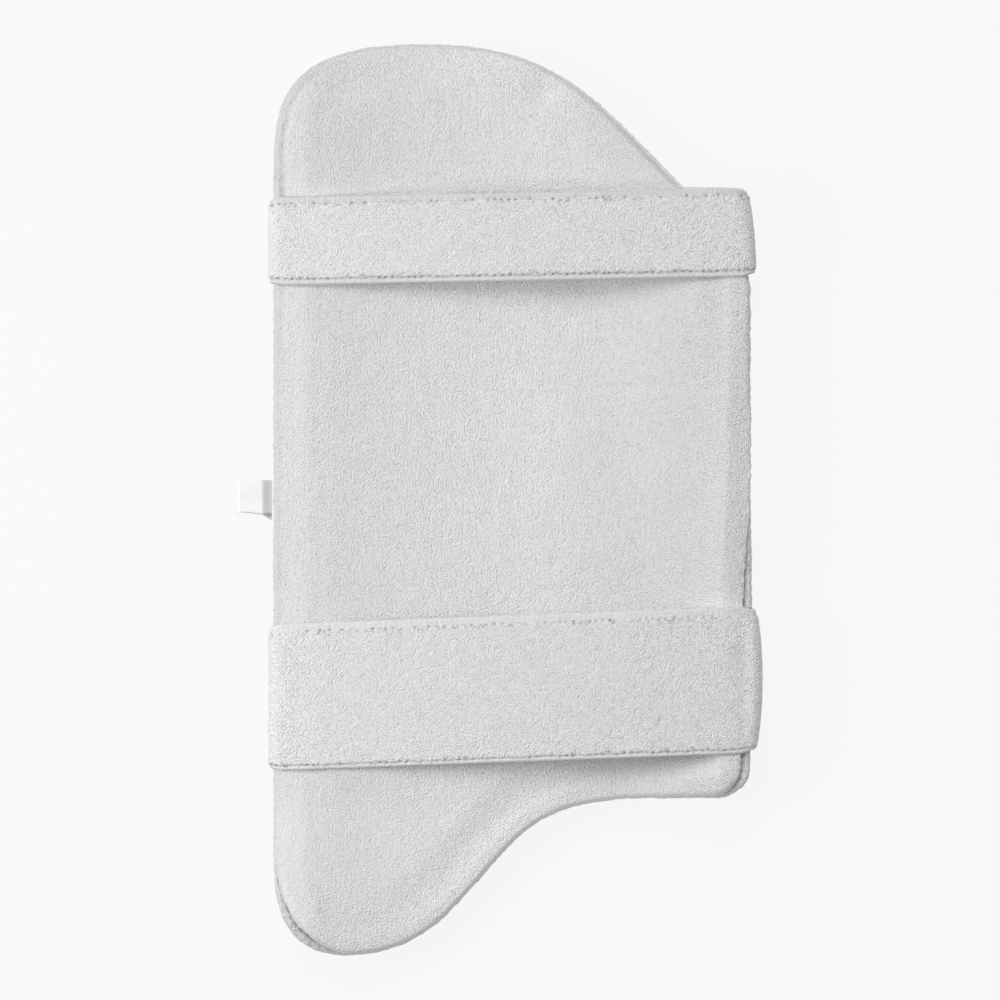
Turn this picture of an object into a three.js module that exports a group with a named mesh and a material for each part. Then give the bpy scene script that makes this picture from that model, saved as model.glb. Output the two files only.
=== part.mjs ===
// A thigh pad of the kind worn for batting: a foam pad with a towelling back, seated in a cloth front
// cover whose turned edge shows as a rim, with two elastic straps wrapped round it and a blank folded
// label at its side. It lies on its front. X runs across the pad, Y from the knee to the hip, and Z up
// from the surface it rests on to the side that meets the leg. The origin is on the front face, under the
// middle of the pad.
import * as THREE from "three";

// Driving dimensions, in millimetres.
const PAD_WIDTH = 205;
const PAD_HEIGHT = 392;
const PAD_THICKNESS = 20;
const COVER_WALL = 2;
const RIM_HEIGHT = 11.6; // from the front face to the crest of the cover's turned edge
const SEAM_RISE = 12.2; // where the towelling leaves the rim
const OUTLINE_RISE = 4; // the height on the pad's side where it is widest
const PIECE_GAP = 0.6; // between neighbouring pieces
const STRAP_THICKNESS = 2;
const STRAP_GAP = 0.8; // between a strap and what it is pulled round

const HALF_WIDTH = PAD_WIDTH / 2;
const HALF_HEIGHT = PAD_HEIGHT / 2;

// The pad is bent to fit round a leg: its front is flat between two lines, where it rests, and rises to
// each side.
const BEND = { flatFrom: -18, flatTo: 32, rise: 15 };

// The back is hollowed on its own, from a little way in from the edge: it is lowest between two lines, given
// at two heights along the pad, and rises to each side. Towards the knee its left side is a shelf. In the
// knee lobe it follows the front's bend again.
const HOLLOW = {
  hip: { y: 113, from: 26, to: 30, end: 81, shelf: 0.4 },
  knee: { y: -81, from: 54, to: 62, end: 102, shelf: 0.8 },
  leftRise: 12.4,
  rightRise: 11,
  shelfEnd: -88,
  lobe: { from: 96, to: 190, share: 0.85 },
  blend: { from: 8, to: 26 },
};

// The outline at the pad's widest, clockwise as the leg's side shows it. Each row ends one stretch: its end
// point, the handles of a cubic curve out of the last point and into this one (a row without them is
// straight), how much of the rim shows at that point (and how much more at the stretch's middle), and how
// wide the roll of the back's edge is there and how far its bevel falls.
const OUTLINE = [
  { stretch: "left side, lower", x: -HALF_WIDTH, y: -40, rim: 1, roll: 1, bevel: 1.2 },
  { stretch: "left side, upper", x: -HALF_WIDTH, y: 137.5, rim: 1.2, roll: 1, bevel: 1.2 },
  {
    stretch: "hip corner", x: -37, y: HALF_HEIGHT, out: [0, 31.7], into: [-65, 0],
    rim: 1, roll: 0.5, bevel: 0.6,
  },
  { stretch: "crown", x: 87.5, y: 121, out: [63.9, 0], into: [-48.7, 46.9], rim: 2.4, roll: 0.4, bevel: 0.4 },
  { stretch: "shoulder", x: HALF_WIDTH, y: 88, out: [9, -8.7], into: [0, 14], rim: 1, roll: 0.55, bevel: 1 },
  { stretch: "right side, upper", x: HALF_WIDTH, y: 10, rim: 1, roll: 0.62, bevel: 1.6 },
  { stretch: "right side, middle", x: HALF_WIDTH + 0.7, y: -46, rim: 4, roll: 0.62, bevel: 1.6 },
  { stretch: "right side, lower", x: HALF_WIDTH, y: -115, rim: 4, roll: 0.62, bevel: 1.4 },
  {
    stretch: "heel corner", x: 88, y: -128.2, out: [0, -7], into: [8, 0],
    rim: 1.2, swell: 1.8, roll: 0.5, bevel: 0.7,
  },
  { stretch: "lower edge", x: 62, y: -128.2, rim: 1, roll: 0.4, bevel: 0.4 },
  {
    stretch: "notch", x: -17.9, y: -167.5, out: [-51.2, 0], into: [22.9, 25.6],
    rim: 1, roll: 0.3, bevel: 0.3,
  },
  {
    stretch: "knee lobe", x: -72, y: -HALF_HEIGHT, out: [-11.7, -13.1], into: [29, 0],
    rim: 1.2, roll: 0.35, bevel: 0.35,
  },
  {
    stretch: "toe", x: -HALF_WIDTH, y: -157, out: [-13.2, 0], into: [0, -33.1],
    rim: 1.6, swell: 3, roll: 0.8, bevel: 0.9,
  },
];
// The four stretches whose middles divide the outline into a left, top, right and lower side.
const CORNERS = ["toe", "hip corner", "shoulder", "heel corner"];

// The pad's two shells, each as a section from the middle of its upper face, over the edge, to the middle
// of its lower face: how far in from the outline (as shares of the rim that shows and of the back's roll,
// plus millimetres) and how far up from the front face (less a drop, where the back has a bevel).
const BODY_SECTION = [
  { place: "back face", rimShare: 1, rollShare: 14.4, inset: PIECE_GAP, rise: PAD_THICKNESS },
  { place: "top of the roll", rimShare: 1, rollShare: 8, inset: PIECE_GAP, rise: PAD_THICKNESS, drop: 1.5 },
  { place: "bevel", rimShare: 1, rollShare: 1.4, inset: PIECE_GAP, rise: PAD_THICKNESS, drop: 3.7 },
  { place: "foot of the bevel", rimShare: 1, inset: PIECE_GAP, rise: 14, drop: 0.4 },
  { place: "seam", rimShare: 1, inset: PIECE_GAP, rise: SEAM_RISE },
  { place: "foot of the side", rimShare: 1, inset: PIECE_GAP, rise: COVER_WALL + PIECE_GAP },
  { place: "front of the foam", rimShare: 1, inset: 9, rise: COVER_WALL + PIECE_GAP },
];
const COVER_SECTION = [
  { place: "inside of the front", rimShare: 1, inset: 9, rise: COVER_WALL },
  { place: "inner foot of the rim", rimShare: 1, inset: 0, rise: COVER_WALL },
  { place: "inner top of the rim", rimShare: 1, inset: 0, rise: 10.4 },
  { place: "crest of the rim", rimShare: 0.5, inset: 0, rise: RIM_HEIGHT },
  { place: "outer top of the rim", rimShare: 0, inset: 0, rise: 9 },
  { place: "side", rimShare: 0, inset: 0, rise: OUTLINE_RISE },
  { place: "turn to the front", rimShare: 0, inset: 1.5, rise: 1.2 },
  { place: "edge of the front", rimShare: 0, inset: 5, rise: 0 },
  { place: "front", rimShare: 0, inset: 10, rise: 0 },
];

// The straps: where the middle of each crosses the pad's centre line, its width, how much it climbs to the
// right for each millimetre along it, and how far its right fold leans in from its lower to its upper edge.
const STRAPS = [
  { name: "upper", y: 113, width: 38, climb: 0.019, foldLean: 3.6 },
  { name: "lower", y: -81.2, width: 63, climb: 0.037, foldLean: 0 },
];
const STRAP_ENDS = { sewn: -64, free: 74 }; // where a strap begins and ends, across the front
const FOLD_LEAN = { fromX: 60, fromZ: 12, toZ: 18 }; // the fold leans right of and above these
const HOOK_TAB = { from: 76, to: 95, thickness: 1.2, margin: 4 }; // holds a strap's free end to the front
const LABEL = { y: 1.5, width: 14.2, length: 15, wall: 1, leafGap: 1.2 };

// How finely the shells and straps are cut into flat faces.
const ACROSS_STEPS = 14;
const ALONG_STEPS = 28;
const TRACE_STEPS = 40; // samples on each stretch of the outline
const TURN_LENGTH = 30; // a radian of turn counts as this many millimetres when points are spread out
const FACE_LENGTH = 12; // how long a face of the pad can be, along Y
const FOLD_ANGLE = 5; // degrees between the faces of a strap's fold
const STRAP_STEP = 1.2; // the shortest face along a strap
const TAB_STEPS = 6;

const COLOURS = {
  towelling: 0xdededf,
  cover: 0xe2e2e3,
  elastic: 0xe0e0e1,
  hook: 0xe4e4e4,
  label: 0xf2f2f2,
};

// How far the front face has risen at x.
function bend(x) {
  const left = Math.max(0, BEND.flatFrom - x) / (BEND.flatFrom + HALF_WIDTH);
  const right = Math.max(0, x - BEND.flatTo) / (HALF_WIDTH - BEND.flatTo);
  return BEND.rise * (left * left + right * right);
}

// The point that is a given rise above the bent front face.
function bent(x, y, rise) {
  return new THREE.Vector3(x, y, bend(x) + rise);
}

// The height of the hollowed back.
function backHeight(x, y) {
  const { hip, knee, leftRise, rightRise, shelfEnd, lobe } = HOLLOW;
  const down = (hip.y - y) / (hip.y - knee.y);
  const past = THREE.MathUtils.clamp(down, -0.4, 1.4);
  const from = THREE.MathUtils.lerp(hip.from, knee.from, past);
  const to = THREE.MathUtils.lerp(hip.to, knee.to, past);
  const end = THREE.MathUtils.lerp(hip.end, knee.end, past);
  const even = (Math.max(0, from - x) / (from + HALF_WIDTH)) ** 2;
  const shelf = THREE.MathUtils.smoothstep(from - x, 0, from - shelfEnd);
  const shelfShare = THREE.MathUtils.lerp(hip.shelf, knee.shelf, THREE.MathUtils.clamp(down, 0, 1));
  const left = THREE.MathUtils.lerp(even, shelf, shelfShare);
  const right = THREE.MathUtils.clamp((x - to) / (end - to), 0, 1) ** 1.15;
  const rise = leftRise * left + rightRise * right;
  const share = lobe.share * THREE.MathUtils.smoothstep(-y, lobe.from, lobe.to);
  return PAD_THICKNESS + THREE.MathUtils.lerp(rise, bend(x), share);
}

// Moves a point of the back to its hollow form, wholly where it is far enough in from the edge.
function hollowed(point, plan, stations) {
  const depth = Math.min(...stations.map((station) => station.point.distanceTo(plan)));
  const share = THREE.MathUtils.smoothstep(depth, HOLLOW.blend.from, HOLLOW.blend.to);
  return point.setZ(THREE.MathUtils.lerp(point.z, backHeight(point.x, point.y), share));
}

// Close samples of the outline: each has its point, the direction inwards, the rim that shows, the width of
// the back's roll and the fall of its bevel.
function traceOutline() {
  const trace = [];
  let from = OUTLINE.at(-1);
  for (const to of OUTLINE) {
    const start = new THREE.Vector2(from.x, from.y);
    const end = new THREE.Vector2(to.x, to.y);
    const curve = to.out
      ? new THREE.CubicBezierCurve(
          start,
          start.clone().add(new THREE.Vector2(...to.out)),
          end.clone().add(new THREE.Vector2(...to.into)),
          end,
        )
      : new THREE.LineCurve(start, end);
    for (let i = 0; i < TRACE_STEPS; i++) {
      const share = i / TRACE_STEPS;
      const tangent = curve.getTangentAt(share);
      const ease = THREE.MathUtils.smoothstep(share, 0, 1);
      trace.push({
        point: curve.getPointAt(share),
        inward: new THREE.Vector2(tangent.y, -tangent.x),
        rim: THREE.MathUtils.lerp(from.rim, to.rim, ease) + (to.swell ?? 0) * 4 * share * (1 - share),
        roll: THREE.MathUtils.lerp(from.roll, to.roll, ease),
        bevel: THREE.MathUtils.lerp(from.bevel, to.bevel, ease),
      });
    }
    from = to;
  }
  return trace;
}

// Picks count samples from one place on the trace towards another, closer together where the outline turns.
function spread(trace, first, last, count) {
  const samples = [];
  for (let i = first; ; i = (i + 1) % trace.length) {
    samples.push(trace[i]);
    if (i === last) break;
  }
  const run = [0];
  for (let i = 1; i < samples.length; i++) {
    const turn = Math.abs(samples[i].inward.cross(samples[i - 1].inward));
    run.push(run[i - 1] + samples[i].point.distanceTo(samples[i - 1].point) + TURN_LENGTH * turn);
  }
  return Array.from({ length: count }, (_, k) => {
    const wanted = (k / count) * run.at(-1);
    return samples[run.findIndex((length) => length >= wanted)];
  });
}

// The outline as stations: its left, top, right and lower side one after the other.
function edgeStations() {
  const trace = traceOutline();
  const corners = CORNERS.map((name) => {
    const row = OUTLINE.findIndex((r) => r.stretch === name);
    return (row + 0.5) * TRACE_STEPS;
  });
  return corners.flatMap((corner, side) => {
    const count = side % 2 ? ACROSS_STEPS : ALONG_STEPS;
    return spread(trace, corner, corners[(side + 1) % corners.length], count);
  });
}

// The outline moved in by one row of a section, still in the plane.
function planLoop(stations, { rimShare, rollShare = 0, inset }) {
  return stations.map(({ point, inward, rim, roll }) =>
    point.clone().addScaledVector(inward, rim * rimShare + roll * rollShare + inset),
  );
}

// The inside of a loop as a grid of points, blended from its four sides.
function planGrid(loop) {
  const at = (k) => loop[k % loop.length];
  const topLeft = ALONG_STEPS;
  const topRight = topLeft + ACROSS_STEPS;
  const lowerRight = topRight + ALONG_STEPS;
  const lowerLeft = lowerRight + ACROSS_STEPS;
  return Array.from({ length: ALONG_STEPS + 1 }, (_, j) =>
    Array.from({ length: ACROSS_STEPS + 1 }, (_, i) => {
      const u = i / ACROSS_STEPS;
      const v = j / ALONG_STEPS;
      return new THREE.Vector2()
        .addScaledVector(at(j), 1 - u)
        .addScaledVector(at(lowerRight - j), u)
        .addScaledVector(at(lowerLeft - i), 1 - v)
        .addScaledVector(at(topLeft + i), v)
        .addScaledVector(at(0), -(1 - u) * (1 - v))
        .addScaledVector(at(lowerRight), -u * (1 - v))
        .addScaledVector(at(topLeft), -(1 - u) * v)
        .addScaledVector(at(topRight), -u * v);
    }),
  );
}

// Gathers points and faces into one closed geometry.
class FaceList {
  points = [];
  indices = [];

  add(point) {
    this.points.push(point.x, point.y, point.z);
    return this.points.length / 3 - 1;
  }

  quad(a, b, c, d) {
    this.indices.push(a, b, c, a, c, d);
  }

  geometry() {
    return new THREE.BufferGeometry()
      .setAttribute("position", new THREE.Float32BufferAttribute(this.points, 3))
      .setIndex(this.indices);
  }
}

// A shell of the pad: rings of faces for the rows of its section, closed by a grid above and another below.
// Each point of the section's first row and of the grid above goes through shape.
function shell(stations, section, shape = (point) => point) {
  const faces = new FaceList();
  const loops = section.map((row) => planLoop(stations, row));
  const placed = (p, k, bevel) => {
    const { rise, drop = 0 } = section[k];
    const point = bent(p.x, p.y, rise - drop * bevel);
    return faces.add(k === 0 ? shape(point, p, stations) : point);
  };
  const rings = loops.map((loop, k) => loop.map((p, i) => placed(p, k, stations[i].bevel)));
  const size = stations.length;
  for (let k = 0; k + 1 < rings.length; k++) {
    for (let i = 0; i < size; i++) {
      const next = (i + 1) % size;
      faces.quad(rings[k][i], rings[k][next], rings[k + 1][next], rings[k + 1][i]);
    }
  }
  const closeWith = (k, upwards) => {
    const grid = planGrid(loops[k]);
    const topLeft = ALONG_STEPS;
    const lowerRight = topLeft + ACROSS_STEPS + ALONG_STEPS;
    const index = grid.map((line, j) =>
      line.map((p, i) => {
        if (i === 0) return rings[k][j];
        if (i === ACROSS_STEPS) return rings[k][lowerRight - j];
        if (j === ALONG_STEPS) return rings[k][topLeft + i];
        if (j === 0) return rings[k][(lowerRight + ACROSS_STEPS - i) % size];
        return placed(p, k, 0);
      }),
    );
    for (let j = 0; j < ALONG_STEPS; j++) {
      for (let i = 0; i < ACROSS_STEPS; i++) {
        const corners = [index[j][i], index[j][i + 1], index[j + 1][i + 1], index[j + 1][i]];
        faces.quad(...(upwards ? corners : corners.reverse()));
      }
    }
  };
  closeWith(0, true);
  closeWith(rings.length - 1, false);
  return faces.geometry();
}

// A band with a rectangular section: for each step along it, points on its inner and outer face from its
// lower to its upper edge.
function band(steps) {
  const faces = new FaceList();
  const rings = steps.map(({ inner, outer }) => [...inner, ...outer.toReversed()].map((p) => faces.add(p)));
  const size = rings[0].length;
  for (let k = 0; k + 1 < rings.length; k++) {
    for (let i = 0; i < size; i++) {
      const next = (i + 1) % size;
      faces.quad(rings[k][i], rings[k][next], rings[k + 1][next], rings[k + 1][i]);
    }
  }
  const half = size / 2;
  for (let i = 0; i + 1 < half; i++) {
    const first = rings[0];
    const last = rings.at(-1);
    faces.quad(first[i], first[size - 1 - i], first[size - 2 - i], first[i + 1]);
    faces.quad(last[i], last[i + 1], last[size - 2 - i], last[size - 1 - i]);
  }
  return faces.geometry();
}

// The lowest and highest y of the points that a strap goes round: what it covers with its climb, and the ends
// of the faces that it lies on.
function strapReach(strap) {
  const half = strap.width / 2 + strap.climb * PAD_WIDTH + FACE_LENGTH;
  return [strap.y - half, strap.y + half];
}

// The points of some geometries that a strap goes round, seen along Y.
function sectionUnder(strap, geometries) {
  const [low, high] = strapReach(strap);
  const found = [];
  for (const geometry of geometries) {
    const points = geometry.attributes.position;
    for (let i = 0; i < points.count; i++) {
      if (points.getY(i) > low && points.getY(i) < high) {
        found.push(new THREE.Vector2(points.getX(i), points.getZ(i)));
      }
    }
  }
  return found;
}

// The line of a band pulled tight round a section, from the front's left over the back to the front's
// right. Each face lies on the far side of every point, so the band touches nothing inside it.
function tightLine(section) {
  const lines = [];
  for (let angle = 270; angle >= -90; angle -= FOLD_ANGLE) {
    const turn = THREE.MathUtils.degToRad(angle);
    const normal = new THREE.Vector2(Math.cos(turn), Math.sin(turn));
    lines.push({ normal, reach: Math.max(...section.map((p) => p.dot(normal))) + STRAP_GAP });
  }
  const corners = [];
  for (let k = 0; k + 1 < lines.length; k++) {
    const { normal: a, reach: p } = lines[k];
    const { normal: b, reach: q } = lines[k + 1];
    const scale = 1 / a.cross(b);
    const corner = new THREE.Vector2((p * b.y - q * a.y) * scale, (q * a.x - p * b.x) * scale);
    if (!corners.length || corner.distanceTo(corners.at(-1)) > STRAP_STEP) corners.push(corner);
  }
  return trimmed(corners);
}

// The line between the strap's two ends, which lie on the front.
function trimmed(corners) {
  const cut = (inside, outside, x) => inside.clone().lerp(outside, (x - inside.x) / (outside.x - inside.x));
  const first = corners.findIndex((p) => p.x < STRAP_ENDS.sewn);
  const last = corners.findLastIndex((p) => p.x > STRAP_ENDS.free);
  const beforeFirst = corners[first - 1] ?? corners.at(-1);
  const afterLast = corners[last + 1] ?? corners[0];
  return [
    cut(corners[first], beforeFirst, STRAP_ENDS.sewn),
    ...corners.slice(first, last + 1),
    cut(corners[last], afterLast, STRAP_ENDS.free),
  ];
}

// The direction away from the pad at each point of a strap's line, lengthened to keep its thickness.
function outwards(line) {
  const side = (a, b) => new THREE.Vector2(a.y - b.y, b.x - a.x).normalize();
  return line.map((p, k) => {
    const before = side(line[Math.max(0, k - 1)], line[Math.max(1, k)]);
    const after = side(line[Math.min(k, line.length - 2)], line[Math.min(k + 1, line.length - 1)]);
    const middle = before.clone().add(after).normalize();
    return middle.divideScalar(middle.dot(after));
  });
}

// A strap: an elastic band that follows its line and climbs steadily along it.
function strapBand(strap, line) {
  const away = outwards(line);
  const run = [0];
  for (let k = 1; k < line.length; k++) run.push(run[k - 1] + line[k].distanceTo(line[k - 1]));
  const middle = run.at(-1) / 2;
  const edges = [0, 0.5, 1];
  const at = (k, share, out) => {
    const p = line[k].clone().addScaledVector(away[k], out);
    const across = THREE.MathUtils.smoothstep(p.x, FOLD_LEAN.fromX, HALF_WIDTH);
    const up = THREE.MathUtils.smoothstep(p.y, FOLD_LEAN.fromZ, FOLD_LEAN.toZ);
    const y = strap.y + strap.climb * (run[k] - middle) + (share - 0.5) * strap.width;
    return new THREE.Vector3(p.x - strap.foldLean * share * across * up, y, p.y);
  };
  return band(
    line.map((_, k) => ({
      inner: edges.map((share) => at(k, share, 0)),
      outer: edges.map((share) => at(k, share, STRAP_THICKNESS)),
    })),
  );
}

// A hook tab: a flat strip that lies on the front, under the free end of its strap.
function hookTab(strap) {
  const half = strap.width / 2 - HOOK_TAB.margin;
  const y = strap.y + strap.climb * PAD_WIDTH;
  return band(
    Array.from({ length: TAB_STEPS + 1 }, (_, k) => {
      const x = THREE.MathUtils.lerp(HOOK_TAB.to, HOOK_TAB.from, k / TAB_STEPS);
      const face = (rise) => [-half, half].map((side) => bent(x, y + side, rise));
      return { inner: face(-PIECE_GAP), outer: face(-PIECE_GAP - HOOK_TAB.thickness) };
    }),
  );
}

// The label: a ribbon folded back on itself, with both ends at the pad's side.
function foldedLabel() {
  const inside = LABEL.leafGap / 2;
  const outside = inside + LABEL.wall;
  const straight = LABEL.length - outside;
  const ribbon = new THREE.Shape();
  ribbon.moveTo(0, outside);
  ribbon.lineTo(-straight, outside);
  ribbon.absarc(-straight, 0, outside, Math.PI / 2, (3 * Math.PI) / 2, false);
  ribbon.lineTo(0, -outside);
  ribbon.lineTo(0, -inside);
  ribbon.lineTo(-straight, -inside);
  ribbon.absarc(-straight, 0, inside, (3 * Math.PI) / 2, Math.PI / 2, true);
  ribbon.lineTo(0, inside);
  ribbon.closePath();
  return new THREE.ExtrudeGeometry(ribbon, { depth: LABEL.width, bevelEnabled: false, curveSegments: 8 });
}

function piece(name, geometry, colour, roughness) {
  const material = new THREE.MeshStandardMaterial({ color: colour, roughness, metalness: 0 });
  const mesh = new THREE.Mesh(geometry, material);
  mesh.name = name;
  return mesh;
}

const thighPad = new THREE.Group();

const stations = edgeStations();
const bodyGeometry = shell(stations, BODY_SECTION, hollowed);
const coverGeometry = shell(stations, COVER_SECTION);
thighPad.add(piece("pad_body", bodyGeometry, COLOURS.towelling, 0.95));
thighPad.add(piece("front_cover", coverGeometry, COLOURS.cover, 0.85));

for (const strap of STRAPS) {
  const tabGeometry = hookTab(strap);
  const line = tightLine(sectionUnder(strap, [bodyGeometry, coverGeometry, tabGeometry]));
  thighPad.add(piece(strap.name + "_strap", strapBand(strap, line), COLOURS.elastic, 0.9));
  thighPad.add(piece(strap.name + "_hook_tab", tabGeometry, COLOURS.hook, 0.8));
}

const label = piece("side_label", foldedLabel(), COLOURS.label, 0.6);
label.rotation.x = Math.PI / 2;
label.position.set(-HALF_WIDTH - PIECE_GAP, LABEL.y + LABEL.width / 2, BEND.rise + OUTLINE_RISE);
thighPad.add(label);

export default thighPad;
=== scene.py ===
"""A thigh pad for batting, lying on its front with the side that meets the leg turned up.

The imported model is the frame. Each piece is made again here as cloth: a towelling back over foam, a front
cover whose turned edge shows as a rim, two plush elastic straps with their hook tabs, and a blank folded
label. Lengths are in millimetres until a mesh is made.
"""

import logging
import math
from dataclasses import dataclass
from enum import Enum
from typing import NamedTuple, Sequence

import bmesh
import bpy
import numpy as np
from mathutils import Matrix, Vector
from mathutils.kdtree import KDTree


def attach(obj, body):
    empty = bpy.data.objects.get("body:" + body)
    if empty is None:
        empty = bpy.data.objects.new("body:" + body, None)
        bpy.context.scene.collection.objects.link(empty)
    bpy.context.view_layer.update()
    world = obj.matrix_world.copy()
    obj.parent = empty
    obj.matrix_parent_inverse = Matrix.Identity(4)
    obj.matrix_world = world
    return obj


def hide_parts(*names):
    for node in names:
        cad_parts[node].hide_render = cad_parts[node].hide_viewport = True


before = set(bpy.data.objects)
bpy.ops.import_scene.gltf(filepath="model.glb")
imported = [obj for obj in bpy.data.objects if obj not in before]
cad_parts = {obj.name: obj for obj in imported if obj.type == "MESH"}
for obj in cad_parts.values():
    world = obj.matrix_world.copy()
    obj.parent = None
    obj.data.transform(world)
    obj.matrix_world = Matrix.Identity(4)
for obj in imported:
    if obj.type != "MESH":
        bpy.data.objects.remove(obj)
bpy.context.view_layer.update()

MM = 0.001
BODY = "root"
PAD_WIDTH = 205.0
LATTICE_PRIMES = (73856093, 19349663, 83492791)
MIXING_PRIME = 1274126177
SEED_STEP = 40503
LOW_BITS = 0xFFFFFFFF
Array = np.ndarray
Colour = tuple[float, float, float, float]
Span = tuple[float, float]
log = logging.getLogger("thigh_pad")


def smoothstep(start: float | Array, end: float | Array, value: Array) -> Array:
    """Rises smoothly from 0 at start to 1 at end."""
    share = np.clip((value - start) / (end - start), 0.0, 1.0)
    return share * share * (3.0 - 2.0 * share)


def bell(value: Array, middle: float | Array, width: float) -> Array:
    """Falls smoothly from 1 at the middle to little beyond the width on either side."""
    return np.exp(-(((value - middle) / width) ** 2))


def follow(table: Sequence[Span], value: Array) -> Array:
    """Reads a table of places and amounts, straight between its places."""
    return np.interp(value, *zip(*table))


def unit(vectors: Array) -> Array:
    """Scales each vector to length one."""
    return vectors / np.linalg.norm(vectors, axis=-1, keepdims=True)


def run_along(line: Array) -> Array:
    """The length of a line from its first point to each of its points."""
    return np.concatenate([[0.0], np.cumsum(np.linalg.norm(np.diff(line, axis=0), axis=1))])


def outward(line: Array) -> Array:
    """The way to the left of a flat line, at each of its points."""
    ahead = unit(np.gradient(line, axis=0))
    return np.stack([-ahead[:, 1], ahead[:, 0]], axis=-1)


@dataclass(frozen=True)
class Grain:
    """Smooth random relief that is the same on each run.

    Attributes:
        seed: picks one relief out of many.
    """

    seed: int

    def pick(self, cell: Array) -> Array:
        """Gives each cell of a lattice a number from -1 to 1, by mixing the bits of its place.

        Args:
            cell: the cells' places, whole numbers along three axes.

        Returns:
            One number for each cell.
        """
        mixed = (cell.astype(np.int64) * LATTICE_PRIMES).sum(axis=-1) + self.seed * SEED_STEP
        mixed = (mixed & LOW_BITS) ^ ((mixed & LOW_BITS) >> 13)
        mixed = mixed * MIXING_PRIME & LOW_BITS
        return (mixed ^ (mixed >> 16)) / (LOW_BITS >> 1) - 1.0

    def at(self, points: Array, size: float | Sequence[float]) -> Array:
        """The relief's height, from -1 to 1.

        Args:
            points: where it is wanted.
            size: the width of its lumps, one number or one for each axis.

        Returns:
            One height for each point.
        """
        scaled = points / size
        base = np.floor(scaled)
        share = smoothstep(0.0, 1.0, scaled - base)
        total = np.zeros(points.shape[:-1])
        for corner in np.ndindex(2, 2, 2):
            weight = np.where(np.array(corner) == 1, share, 1.0 - share).prod(axis=-1)
            total += weight * self.pick(base + corner)
        return total


class Lumps(NamedTuple):
    """Random lumps in a cloth: which ones, how tall they are and how wide."""

    seed: int
    tall: float
    size: float | tuple[float, float, float]

    def height(self, points: Array) -> Array:
        """How far the lumps raise each point."""
        return self.tall * Grain(self.seed).at(points, self.size)


class Skin:
    """Points and faces, gathered into one mesh."""

    def __init__(self) -> None:
        """Starts with nothing."""
        self.points: list[Array] = []
        self.faces: list[tuple[int, ...]] = []
        self.count = 0

    def add(self, points: Array) -> Array:
        """Adds points.

        Args:
            points: the points, in any layout.

        Returns:
            Their numbers, in an array of the same layout.
        """
        numbers = np.arange(self.count, self.count + points[..., 0].size).reshape(points.shape[:-1])
        self.points.append(points.reshape(-1, 3))
        self.count += numbers.size
        return numbers

    def quads(self, numbers: Array, closed: bool = False) -> None:
        """Joins the cells of a grid of point numbers.

        Args:
            numbers: the grid.
            closed: whether each row runs on into its own start.
        """
        if closed:
            numbers = np.concatenate([numbers, numbers[:, :1]], axis=1)
        cells = np.stack([numbers[:-1, :-1], numbers[:-1, 1:], numbers[1:, 1:], numbers[1:, :-1]], axis=-1)
        self.faces.extend(map(tuple, cells.reshape(-1, 4).tolist()))

    def face(self, numbers: Sequence[int]) -> None:
        """Adds one face with any number of corners."""
        self.faces.append(tuple(int(number) for number in numbers))

    def shell(self, outer: Array, inner: Array) -> None:
        """Joins two grids of point numbers, and closes the gap between them all round.

        Args:
            outer: the grid of the outer face.
            inner: the grid of the inner face, which may have fewer cells across.
        """
        self.quads(outer)
        self.quads(inner)
        for side in (0, -1):
            self.quads(np.stack([outer[:, side], inner[:, side]], axis=1))
            if outer.shape == inner.shape:
                self.quads(np.stack([outer[side], inner[side]], axis=0))
            else:
                self.face([*outer[side], *inner[side][::-1]])

    def made(self, name: str) -> bpy.types.Object:
        """Makes the mesh, with its faces turned outwards and shaded smooth.

        Args:
            name: what the mesh and its object are called.

        Returns:
            The object.
        """
        mesh = bpy.data.meshes.new(name)
        mesh.from_pydata(np.concatenate(self.points) * MM, [], self.faces)
        shape = bmesh.new()
        shape.from_mesh(mesh)
        bmesh.ops.recalc_face_normals(shape, faces=shape.faces)
        shape.to_mesh(mesh)
        shape.free()
        mesh.shade_smooth()
        piece = bpy.data.objects.new(name, mesh)
        bpy.context.scene.collection.objects.link(piece)
        return piece


def triples(rows: bpy.types.bpy_prop_collection, name: str) -> Array:
    """Reads one vector from each row of a mesh's table.

    Args:
        rows: the table.
        name: the vector's name in it.

    Returns:
        The vectors.
    """
    flat = np.empty(len(rows) * 3, np.float32)
    rows.foreach_get(name, flat)
    return flat.reshape(-1, 3).astype(float)


def points_of(mesh: bpy.types.Mesh) -> Array:
    """A mesh's points."""
    return triples(mesh.vertices, "co") / MM


def normals_of(mesh: bpy.types.Mesh) -> Array:
    """The direction outwards at each point of a mesh."""
    return triples(mesh.vertex_normals, "vector")


def move_points(mesh: bpy.types.Mesh, points: Array) -> None:
    """Puts a mesh's points in new places."""
    mesh.vertices.foreach_set("co", (points * MM).astype(np.float32).ravel())
    mesh.update()


def subdivide(piece: bpy.types.Object, levels: int) -> None:
    """Rounds a mesh by cutting each face into four.

    Args:
        piece: the piece whose mesh it is.
        levels: how many times its faces are cut.
    """
    modifier = piece.modifiers.new("subdivide", "SUBSURF")
    modifier.levels = levels
    rounded = bpy.data.meshes.new_from_object(piece.evaluated_get(bpy.context.evaluated_depsgraph_get()))
    piece.modifiers.remove(modifier)
    coarse = piece.data
    piece.data = rounded
    bpy.data.meshes.remove(coarse)
    rounded.name = piece.name


def mark(mesh: bpy.types.Mesh, name: str, values: Array) -> None:
    """Keeps one number for each point of a mesh, for its finish to read."""
    layer = mesh.attributes.new(name, "FLOAT", "POINT")
    layer.data.foreach_set("value", values.astype(np.float32).ravel())


def grey(level: float) -> Colour:
    """A grey, from 0 for black to 1 for white."""
    return (level, level, level, 1.0)


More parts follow.
